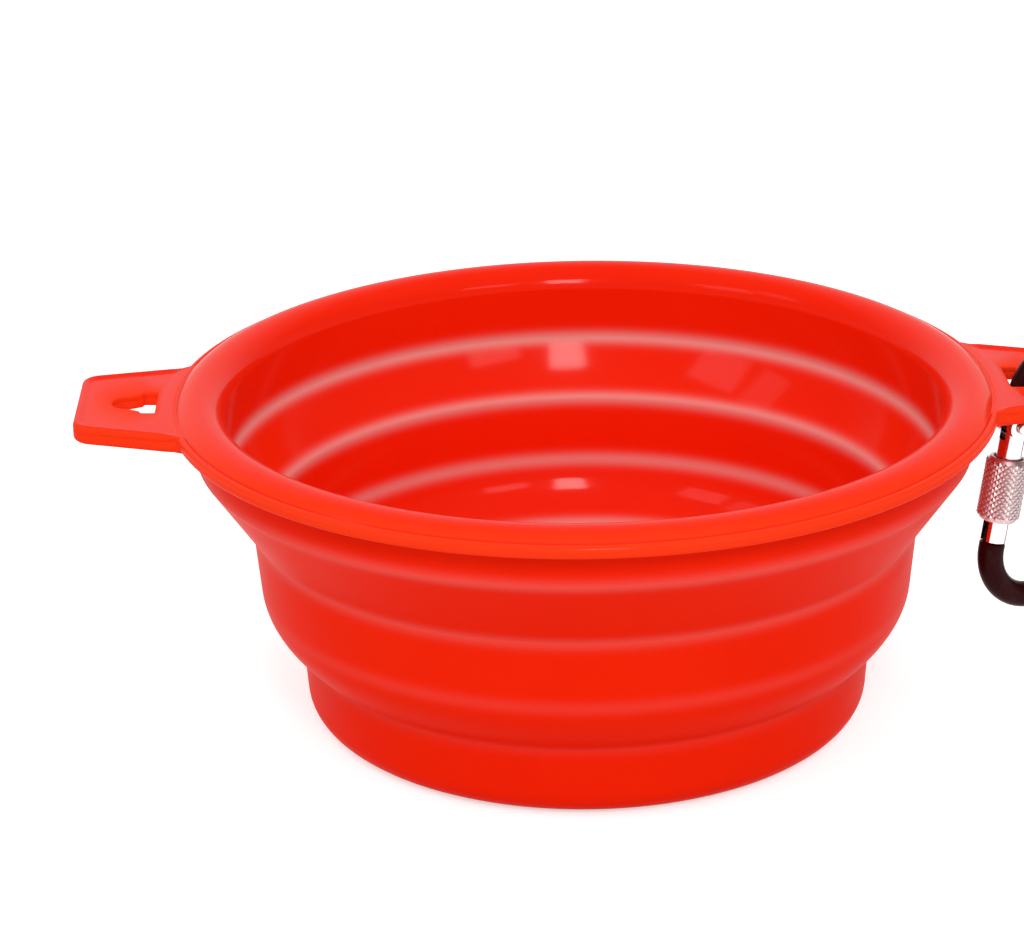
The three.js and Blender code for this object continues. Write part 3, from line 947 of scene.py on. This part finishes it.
def cover(outline, hole, spots):
    """Triangles over the area between two lines, as places in outline + hole + spots."""
    flat = outline + hole + spots
    edges = []
    for first, count in ((0, len(outline)), (len(outline), len(hole))):
        edges += [(first + i, first + (i + 1) % count) for i in range(count)]
    made = delaunay_2d_cdt([p / MM for p in flat], edges, [], FILL_INSIDE, FILL_TOLERANCE)
    spread = [Vector(p) * MM for p in made[0]]
    if len(spread) != len(flat):
        raise RuntimeError("the ear's top has points that cross or meet")
    order = [origins[0] for origins in made[3]]
    triangles = []
    for face in made[2]:
        middle = sum((spread[i] for i in face), Vector((0, 0))) / 3
        if inside_loop(middle, outline) and not inside_loop(middle, hole):
            triangles.append([order[i] for i in face])
    return triangles


def root_blend(ears, sizes, low, high, point):
    """Moves a point of the ear's upper half near the rim, so that its top runs into the bead's top."""
    middle = (low + high) / 2
    if point.z < middle:
        return
    near = (sizes.rim_radius + ears.root_blend - point.xy.length) / ears.root_blend
    near = min(1.0, max(0.0, near))
    reach = (high - low) / 2 - ears.panel
    share = min(1.0, (point.z - middle) / reach) * near * near * (3 - 2 * near)
    point.z += share * (bead_top(sizes) - FLUSH_GAP - point.z)


class EarShape:
    """Points and faces of an ear, with the painted light on its sides and hole walls and its glossy top as
    values on the points.
    """

    def __init__(self):
        self.points = []
        self.faces = []
        self.values = {"thin": [], "gloss": []}

    def add_points(self, loop, z, thin, gloss):
        """Adds a line's points at one height and gives their places."""
        first = len(self.points)
        self.points += [Vector((p.x, p.y, z)) for p in loop]
        self.values["thin"] += [float(thin)] * len(loop)
        self.values["gloss"] += [float(gloss)] * len(loop)
        return list(range(first, len(self.points)))

    def add_edge(self, rings, sign):
        """Joins each ring of points to the next; sign is -1 for a hole's edge."""
        for low, high in zip(rings, rings[1:]):
            for i in range(len(low)):
                face = (low[i - 1], low[i], high[i], high[i - 1])
                self.faces.append(face if sign > 0 else face[::-1])

    def mesh(self, name):
        made = bpy.data.meshes.new(name)
        made.from_pydata([tuple(p) for p in self.points], [], self.faces)
        set_values(made, self.values)
        return made


def ear_mesh(name, ears, sizes, turn, lean):
    """One ear: the edges of its outline and hole ring by ring, then its two faces."""
    near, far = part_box("right_ear")
    low, high = near.z, far.z + ears.rise
    rim = sizes.rim_radius
    rounds = (
        (ear_outline(ears, rim), 1, lip_levels(ears, low, high)),
        (ear_hole(ears), -1, edge_levels(ears, ears.hole_edge, low + ears.panel, high - ears.panel)),
    )
    shape = EarShape()
    walls = []
    for loop, sign, levels in rounds:
        rings = []
        for z, d in levels:
            # Rings on the ear's sides and in its hole get the painted light: a lighter, more orange red.
            on_side = d < 0.5 * ears.edge
            on_top = not on_side and z >= far.z - MM
            rings.append(shape.add_points(inset(loop, sign * d, rim), z, on_side, on_top))
        shape.add_edge(rings, sign)
        walls.append(rings)
    for end in (0, -1):
        z = rounds[0][2][end][0]
        loops = [inset(loop, sign * levels[end][1], rim) for loop, sign, levels in rounds]
        spots = root_spots(loops[0], rim)
        index = walls[0][end] + walls[1][end] + shape.add_points(spots, z, False, end == -1)
        shape.faces += [[index[i] for i in triangle] for triangle in cover(*loops, spots)]
    for p in shape.points:
        p.z += lean * max(0.0, p.x - rim)
        root_blend(ears, sizes, low, high, p)
    mesh = shape.mesh(name)
    mesh.transform(Matrix.Rotation(turn, 4, "Z"))
    return mesh


class BOWL_OT_ears(bpy.types.Operator):
    """The two ears with their bottle-shaped holes."""

    bl_idname = "bowl.ears"
    bl_label = "Ears"

    def execute(self, context):
        ears = context.scene.ear_sizes
        sizes = context.scene.bowl_sizes
        for node, turn, lean in (("right_ear", 0.0, -ears.lean), ("left_ear", math.pi, ears.lean)):
            piece = link(node + "_skin", ear_mesh(node + "_skin", ears, sizes, turn, lean))
            smooth(outward(finished(piece, silicone())), EAR_SMOOTH)
            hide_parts(node)
            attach(piece, "rim")
        return {"FINISHED"}


# Pieces of the clip

ROD_SIDES = 40
BEND_POINTS = 49
BACK_PARTS = 6
ROD_EDGE = 0.35 * MM  # rounding of the rod's two ends
ROD_EDGE_START = 0.3 * ROD_EDGE
TONGUE_RADIUS = 2.0 * MM
TONGUE_POINTS = 17
TONGUE_DOME = 0.999  # keeps a tongue's round end off its straight sides
NOSE_TONGUE_RADIUS = 1.7 * MM
NOSE_TONGUE_FOOT = 1.1 * MM  # below the nose's top
NOSE_TONGUE_RISE = 1.7 * MM  # above the nose's top

# Heights of the gate's and spring's parts, measured down from the rivet
UPPER_SLOT_DEPTH = 2.6 * MM
BORE_TOP = 2.5 * MM
BORE_BOTTOM = 11.7 * MM
PLUNGER_TOP = 2.3 * MM

BORE_RADIUS = 1.24 * MM
NOSE_GAP = 0.3 * MM  # between the gate's end and the nose
NOSE_SLOT = 3.7 * MM  # reach of the lower slot above the nose
GATE_SIDES = 48
GATE_SMOOTH = 30
BEVEL_WIDTH = 0.12 * MM
BEVEL_ANGLE = math.radians(50)

RIVET_SIDES = 32
RIVET_PIN = 0.7 * MM
RIVET_REACH = 0.7 * MM  # outside of the heads, beyond the gate
RIVET_FACE = 0.3 * MM  # inside of the heads, beyond the gate
RIVET_TOP = 0.8  # a head's flat top, as a share of its radius
RIVET_TOP_ROUND = 0.3 * MM
RIVET_EDGE_ROUND = 0.1 * MM
PLUNGER_RADIUS = 0.85 * MM
PLUNGER_LENGTH = 1.6 * MM
PLUNGER_FOOT_ROUND = 0.15 * MM
PLUNGER_TOP_ROUND = 0.3 * MM
PLUNGER_SIDES = 24
COIL_DROP = 1.9 * MM  # the spring's top below the plunger's top
COIL_LENGTH = 7.2 * MM
COIL_STEPS = 24  # per turn
WIRE_SIDES = 10

SLEEVE_SIDES = 64
SLEEVE_EDGE = 0.7 * MM
SLEEVE_CHAMFER = 0.4 * MM
SLEEVE_ROUND = 0.15 * MM
SLEEVE_RIM_ROUND = 0.2 * MM
SLEEVE_JOIN = 0.01 * MM  # between the two ends of the sleeve's profile, inside the bore
# the sleeve's body takes a quarter of the painted shade between the diamonds
SLEEVE_CREST = 0.75
KNURL_MARGIN = 0.6  # of the sleeve's edge
KNURL_SINK = 0.02 * MM


def clip_place():
    """The clip's own frame: origin at the upper bend's centre, X away from the bowl, Z up along the gate."""
    up = -Vector(JOINTS["sleeve_slide"]["axis"]).normalized()
    side = -Vector(JOINTS["carabiner_swing"]["axis"]).normalized()
    out = side.cross(up)
    turn = Matrix((out, side, up)).transposed().to_4x4()
    return Matrix.Translation(JOINTS["carabiner_swing"]["pos_m"]) @ turn


def put(piece, place):
    piece.data.transform(place)
    return piece


def on_gate(clip):
    """The gate's line as the Z axis."""
    return clip_place() @ Matrix.Translation((-clip.bend_radius, 0, 0))


def rod_line(clip):
    """The rod's centre line in the clip's frame, from above the rivet to the nose, with its girth."""
    bend = clip.bend_radius
    low = -clip.straight
    flat = [Vector((-bend, -clip.rod_end)), Vector((-bend, 0))]
    flat += arc((0, 0), bend, np.linspace(math.pi, 0, BEND_POINTS)[1:])
    flat += [Vector((bend, low * i / BACK_PARTS)) for i in range(1, BACK_PARTS + 1)]
    flat += arc((0, low), bend, np.linspace(0, -math.pi, BEND_POINTS)[1:])
    flat.append(Vector((-bend, -clip.nose)))
    tail = (flat[-1] - flat[-2]).length
    first = [flat[0].lerp(flat[1], d / clip.rod_end) for d in (0, ROD_EDGE_START, ROD_EDGE)]
    last = [flat[-1].lerp(flat[-2], d / tail) for d in (ROD_EDGE, ROD_EDGE_START, 0)]
    points = first + flat[1:-1] + last
    girth = [clip.rod_radius] * len(points)
    for i, less in ((0, ROD_EDGE), (1, ROD_EDGE_START), (-2, ROD_EDGE_START), (-1, ROD_EDGE)):
        girth[i] -= less
    return [(p.x, 0, p.y) for p in points], girth


def tongue_mesh(work, centre_x, square, centre, radius, thickness):
    """A flat tongue in the clip's plane, from a square end to a round one about its centre."""
    way = 1 if centre > square else -1
    points = []
    for a in np.linspace(0, math.pi, TONGUE_POINTS):
        points.append((centre_x + radius * math.cos(a), centre + way * radius * TONGUE_DOME * math.sin(a)))
    points += [(centre_x - radius, square), (centre_x + radius, square)]
    face = work.faces.new([work.verts.new((x, -thickness / 2, z)) for x, z in points])
    grown = bmesh.ops.extrude_face_region(work, geom=[face])
    moved = [v for v in grown["geom"] if isinstance(v, bmesh.types.BMVert)]
    bmesh.ops.translate(work, vec=(0, thickness, 0), verts=moved)


class BOWL_OT_rod(bpy.types.Operator):
    """The clip's bent rod with a flat tongue at each end."""

    bl_idname = "bowl.rod"
    bl_label = "Clip rod"

    def execute(self, context):
        clip = context.scene.clip_sizes
        points, girth = rod_line(clip)
        path = line_mesh("clip_rod", points, False, girth=girth)
        piece = run_tree("clip_rod", path, swept_tree(), sides=ROD_SIDES, material=black_coat())
        work = bmesh.new()
        work.from_mesh(piece.data)
        gate_x = -clip.bend_radius
        root = clip.rod_radius - clip.rod_end
        foot = -clip.nose - NOSE_TONGUE_FOOT
        tip = -clip.nose + NOSE_TONGUE_RISE
        tongue_mesh(work, gate_x, root, -clip.rivet_drop, TONGUE_RADIUS, clip.tongue)
        tongue_mesh(work, gate_x, foot, tip, NOSE_TONGUE_RADIUS, clip.tongue)
        work.to_mesh(piece.data)
        work.free()
        smooth(outward(put(piece, clip_place())))
        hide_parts("carabiner_frame")
        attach(piece, "carabiner")
        return {"FINISHED"}


def loose(name, build):
    """An object whose mesh the given function fills."""
    work = bmesh.new()
    build(work)
    bmesh.ops.recalc_face_normals(work, faces=work.faces)
    mesh = bpy.data.meshes.new(name)
    work.to_mesh(mesh)
    work.free()
    return link(name, mesh)


def bar(name, radius, low, high, place=Matrix.Identity(4)):
    """A round bar along Z, moved to its place."""
    middle = place @ Matrix.Translation((0, 0, (low + high) / 2))
    shape = {"segments": GATE_SIDES, "radius1": radius, "radius2": radius, "depth": high - low}
    return loose(name, lambda work: bmesh.ops.create_cone(work, cap_ends=True, matrix=middle, **shape))


def block(name, width, depth, low, high):
    """A block along Z."""
    size = Matrix.Diagonal((width, depth, high - low, 1))
    place = Matrix.Translation((0, 0, (low + high) / 2)) @ size
    return loose(name, lambda work: bmesh.ops.create_cube(work, size=1.0, matrix=place))


def carve(piece, tools):
    """Joins or cuts the piece with each (operation, tool object), then makes it a plain mesh."""
    for operation, tool in tools:
        modifier = piece.modifiers.new("Carve", "BOOLEAN")
        modifier.operation = operation
        modifier.solver = "EXACT"
        modifier.object = tool
    bevel = piece.modifiers.new("Edges", "BEVEL")
    bevel.width = BEVEL_WIDTH
    bevel.segments = 2
    bevel.limit_method = "ANGLE"
    bevel.angle_limit = BEVEL_ANGLE
    made = plain(piece.name, piece)
    for _, tool in tools:
        bpy.data.objects.remove(tool)
    return made


class BOWL_OT_gate(bpy.types.Operator):
    """The polished gate, forked at both ends, and the rivet it turns on."""

    bl_idname = "bowl.gate"
    bl_label = "Gate and rivet"

    def execute(self, context):
        clip = context.scene.clip_sizes
        radius = clip.gate_radius
        rivet = -clip.rivet_drop
        end = rivet - clip.gate_length
        nose = end - NOSE_GAP
        across = Matrix.Translation((0, 0, rivet)) @ Matrix.Rotation(math.pi / 2, 4, "X")
        clear = 3 * radius
        slot = partial(block, width=2 * clear, depth=clip.slot)
        body = bar("gate_body", radius, end, rivet)
        tools = [
            ("UNION", bar("tool_head", radius, -radius, radius, across)),
            ("DIFFERENCE", slot("tool_upper_slot", low=rivet - UPPER_SLOT_DEPTH, high=rivet + clear)),
            ("DIFFERENCE", slot("tool_lower_slot", low=nose - MM, high=nose + NOSE_SLOT)),
            ("DIFFERENCE", bar("tool_bore", BORE_RADIUS, rivet - BORE_BOTTOM, rivet - BORE_TOP)),
        ]
        piece = finished(carve(body, tools), silver())
        smooth(put(piece, on_gate(clip)), GATE_SMOOTH)
        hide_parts("gate")
        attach(piece, "gate")

        reach = radius + RIVET_REACH
        face = radius + RIVET_FACE
        half = [
            (0, -reach, 0),
            (clip.rivet_head * RIVET_TOP, -reach, RIVET_TOP_ROUND),
            (clip.rivet_head, -face, RIVET_EDGE_ROUND),
            (RIVET_PIN, -face, 0),
        ]
        line = rounded(half + [(r, -z, e) for r, z, e in half[::-1]])
        pin = turned("gate_rivet_skin", line, False, silver(), RIVET_SIDES)
        put(pin, on_gate(clip) @ across)
        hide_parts("gate_rivet")
        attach(pin, "carabiner")
        return {"FINISHED"}


class BOWL_OT_spring(bpy.types.Operator):
    """The coil spring inside the gate and the plunger it pushes."""

    bl_idname = "bowl.spring"
    bl_label = "Spring and plunger"

    def execute(self, context):
        clip = context.scene.clip_sizes
        place = on_gate(clip)
        top = -clip.rivet_drop - PLUNGER_TOP
        foot = top - PLUNGER_LENGTH
        radius = PLUNGER_RADIUS
        plunger = [(0, foot, 0), (radius, foot, PLUNGER_FOOT_ROUND)]
        plunger += [(radius, top, PLUNGER_TOP_ROUND), (0, top, 0)]
        pin = turned("plunger_skin", rounded(plunger), False, spring_steel(), PLUNGER_SIDES)
        put(pin, place)
        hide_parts("spring_plunger")
        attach(pin, "plunger")

        start = top - COIL_DROP - clip.wire_radius
        rise = COIL_LENGTH - 2 * clip.wire_radius
        steps = clip.coil_turns * COIL_STEPS
        points = []
        for i in range(steps + 1):
            a = math.tau * i / COIL_STEPS
            height = start - rise * i / steps
            points.append((clip.coil_radius * math.cos(a), clip.coil_radius * math.sin(a), height))
        coil = line_mesh("spring_skin", points, False, girth=[clip.wire_radius] * len(points))
        piece = run_tree("spring_skin", coil, swept_tree(), sides=WIRE_SIDES, material=spring_steel())
        smooth(outward(put(piece, place)))
        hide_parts("gate_spring")
        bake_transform(piece)
        return {"FINISHED"}


class BOWL_OT_sleeve(bpy.types.Operator):
    """The screw sleeve with its diamond knurl."""

    bl_idname = "bowl.sleeve"
    bl_label = "Knurled sleeve"

    def execute(self, context):
        clip = context.scene.clip_sizes
        top = -clip.sleeve_top
        low = top - clip.sleeve_length
        middle = (low + top) / 2
        bore = clip.sleeve_bore
        root = clip.sleeve_radius - clip.knurl_depth
        corners = [
            (bore, middle, 0),
            (bore, low, SLEEVE_ROUND),
            (root - SLEEVE_CHAMFER, low, SLEEVE_RIM_ROUND),
            (root, low + SLEEVE_EDGE, SLEEVE_ROUND),
            (root, top - SLEEVE_EDGE, SLEEVE_ROUND),
            (root - SLEEVE_CHAMFER, top, SLEEVE_RIM_ROUND),
            (bore, top, SLEEVE_ROUND),
            (bore, middle + SLEEVE_JOIN, 0),
        ]
        line = rounded(corners)
        crest = [SLEEVE_CREST] * len(line)
        body = turned("sleeve_skin", line, True, knurled_silver(), SLEEVE_SIDES, crest=crest)
        knurl = run_tree(
            "sleeve_knurl",
            bpy.data.meshes.new("sleeve_knurl"),
            knurl_tree(),
            radius=root + clip.knurl_depth / 2 - KNURL_SINK,
            low=low + SLEEVE_EDGE * KNURL_MARGIN,
            high=top - SLEEVE_EDGE * KNURL_MARGIN,
            depth=clip.knurl_depth,
            count=clip.knurl_round,
            rows=clip.knurl_rows,
            material=knurled_silver(),
        )
        for piece in (body, knurl):
            put(piece, on_gate(clip))
            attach(piece, "sleeve")
        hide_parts("lock_sleeve")
        return {"FINISHED"}


# Studio

# Levels of the world's light: overhead, at the horizon, and as glossy surfaces mirror it in front
SKY_TOP = 1.13
SKY_EDGE = 0.56
FRONT_LEVEL = 0.4
FRONT_TOP_LEVEL = 0.06
FRONT_FADE = (0.15, 0.4)  # heights between which the front darkens
BACK_FADE = (0.3, 0.85)  # how far back the mirrored light begins and is full
FLOOR_LIFT = 0.55
FLOOR_HALF = 3.0
FLOOR_DROP = 0.3 * MM
WINDOW_DISTANCE = 1.1

# Each window's azimuth and elevation in degrees, width and height in metres, and watts
WINDOWS = {
    "Window middle": (2.9, 38.6, 0.2, 0.31, 2.7),
    "Window left": (-58, 38, 0.31, 0.26, 0.5),
    "Window far left": (-80, 38, 0.2, 0.28, 0.22),
    "Window right": (31, 36, 0.3, 0.16, 0.42),
}


def window(name, azimuth, elevation, width, height, power):
    """A soft light in front of the bowl; azimuth runs from the front towards +X."""
    lamp = bpy.data.lights.new(name, "AREA")
    lamp.shape = "RECTANGLE"
    lamp.size = width
    lamp.size_y = height
    lamp.energy = power
    made = link(name, lamp)
    a = math.radians(azimuth)
    e = math.radians(elevation)
    way = Vector((math.sin(a) * math.cos(e), -math.cos(a) * math.cos(e), math.sin(e)))
    made.location = AIM_POINT + way * WINDOW_DISTANCE
    made.rotation_euler = (-way).to_track_quat("-Z", "Y").to_euler()


def photo_camera():
    """The camera that puts the bowl where the photograph has it."""
    e = math.radians(CAMERA_ELEVATION)
    roll = math.radians(CAMERA_ROLL)
    forward = Vector((0, math.cos(e), -math.sin(e)))
    level = Vector((1, 0, 0))
    rise = Vector((0, math.sin(e), math.cos(e)))
    right = level * math.cos(roll) + rise * math.sin(roll)
    up = rise * math.cos(roll) - level * math.sin(roll)
    across = AIM_PIXEL[0] - IMAGE_WIDTH / 2
    down = AIM_PIXEL[1] - IMAGE_HEIGHT / 2
    ray = (forward * FOCAL_PIXELS + right * across - up * down).normalized()
    place = Matrix((right, up, -forward)).transposed().to_4x4()
    place.translation = AIM_POINT - ray * CAMERA_DISTANCE
    lens = bpy.data.cameras.new("Photo camera")
    lens.sensor_width = SENSOR
    lens.lens = FOCAL_PIXELS * SENSOR / IMAGE_WIDTH
    lens.clip_start = 0.01
    lens.clip_end = 20
    made = link("Photo camera", lens)
    made.matrix_world = Matrix.Rotation(math.radians(CAMERA_TURN), 4, "Z") @ place
    return made


def studio_world():
    """White to the camera, soft light from above, and darker in front for what glossy surfaces mirror."""
    world = bpy.data.worlds.new("Plain studio")
    world.use_nodes = True
    tree = world.node_tree
    path = add(tree, "ShaderNodeLightPath").outputs
    place = add(tree, "ShaderNodeTexCoord").outputs["Generated"]
    way = add(tree, "ShaderNodeSeparateXYZ", {0: place}).outputs
    front = ramp(tree, way["Z"], *FRONT_FADE, FRONT_LEVEL, FRONT_TOP_LEVEL)
    mirror = maths(tree, "MAXIMUM", ramp(tree, way["Y"], *BACK_FADE, 0, 1), front)
    soft = ramp(tree, way["Z"], 0, 1, SKY_EDGE, SKY_TOP)
    clear = maths(tree, "MAXIMUM", path["Is Camera Ray"], path["Is Transmission Ray"])
    level = choose(tree, path["Is Glossy Ray"], soft, mirror)
    sky = {"Color": (1, 1, 1, 1), "Strength": choose(tree, clear, level, 1.0)}
    feed(tree, tree.nodes["Background"], sky)
    return world


def pale_floor(tone):
    """A matt floor, lifted to white for what the camera sees directly or in a polished surface."""
    grid = {"x_segments": 1, "y_segments": 1, "size": FLOOR_HALF}
    floor = loose("floor", lambda work: bmesh.ops.create_grid(work, **grid))
    put(floor, Matrix.Translation((0, 0, -FLOOR_DROP)))
    material, tree, shader = new_material("Pale floor")
    feed(tree, shader, {"Base Color": tone, "Roughness": 0.9, "Specular IOR Level": 0.0})
    path = add(tree, "ShaderNodeLightPath").outputs
    seen = maths(tree, "MAXIMUM", path["Is Camera Ray"], path["Is Glossy Ray"])
    seen = maths(tree, "MAXIMUM", seen, path["Is Transmission Ray"])
    lift = ramp(tree, seen, 0, 1, 0.0, FLOOR_LIFT)
    glow = add(tree, "ShaderNodeEmission", {"Strength": lift}).outputs[0]
    both = add(tree, "ShaderNodeAddShader", {0: shader.outputs[0], 1: glow}).outputs[0]
    feed(tree, tree.nodes["Material Output"], {"Surface": both})
    return finished(floor, material)


class BOWL_OT_stage(bpy.types.Operator):
    """Pale floor, soft lights, plain world and the camera."""

    bl_idname = "bowl.stage"
    bl_label = "Studio"

    def execute(self, context):
        scene = context.scene
        scene.view_settings.view_transform = "Standard"
        scene.world = studio_world()
        floor = pale_floor(scene.bowl_colours.floor)
        for name, values in WINDOWS.items():
            window(name, *values)
        scene.camera = photo_camera()
        return {"FINISHED"}


class BOWL_PT_panel(bpy.types.Panel):
    """Sizes, colours and pieces of the bowl."""

    bl_idname = "BOWL_PT_panel"
    bl_label = "Folding dog bowl"
    bl_space_type = "VIEW_3D"
    bl_region_type = "UI"
    bl_category = "Dog bowl"

    def draw(self, context):
        layout = self.layout
        for operator in OPERATORS:
            layout.operator(operator.bl_idname)
        for name, _ in GROUPS:
            group = getattr(context.scene, name)
            box = layout.box()
            for key in group.bl_rna.properties.keys():
                if key not in ("rna_type", "name"):
                    box.prop(group, key)


GROUPS = (
    ("bowl_sizes", BowlSizes),
    ("ear_sizes", EarSizes),
    ("clip_sizes", ClipSizes),
    ("bowl_colours", BowlColours),
)
OPERATORS = (
    BOWL_OT_stage,
    BOWL_OT_base,
    BOWL_OT_bands,
    BOWL_OT_rim,
    BOWL_OT_ears,
    BOWL_OT_rod,
    BOWL_OT_gate,
    BOWL_OT_spring,
    BOWL_OT_sleeve,
)


def register():
    for key, group in GROUPS:
        bpy.utils.register_class(group)
        setattr(bpy.types.Scene, key, PointerProperty(type=group))
    for operator in OPERATORS:
        bpy.utils.register_class(operator)
    bpy.utils.register_class(BOWL_PT_panel)


def unregister():
    bpy.utils.unregister_class(BOWL_PT_panel)
    for operator in reversed(OPERATORS):
        bpy.utils.unregister_class(operator)
    for key, group in reversed(GROUPS):
        delattr(bpy.types.Scene, key)
        bpy.utils.unregister_class(group)


def main():
    register()
    bpy.ops.bowl.stage()
    bpy.ops.bowl.base()
    bpy.ops.bowl.bands()
    bpy.ops.bowl.rim()
    bpy.ops.bowl.ears()
    bpy.ops.bowl.rod()
    bpy.ops.bowl.gate()
    bpy.ops.bowl.spring()
    bpy.ops.bowl.sleeve()


if __name__ == "__main__":
    main()
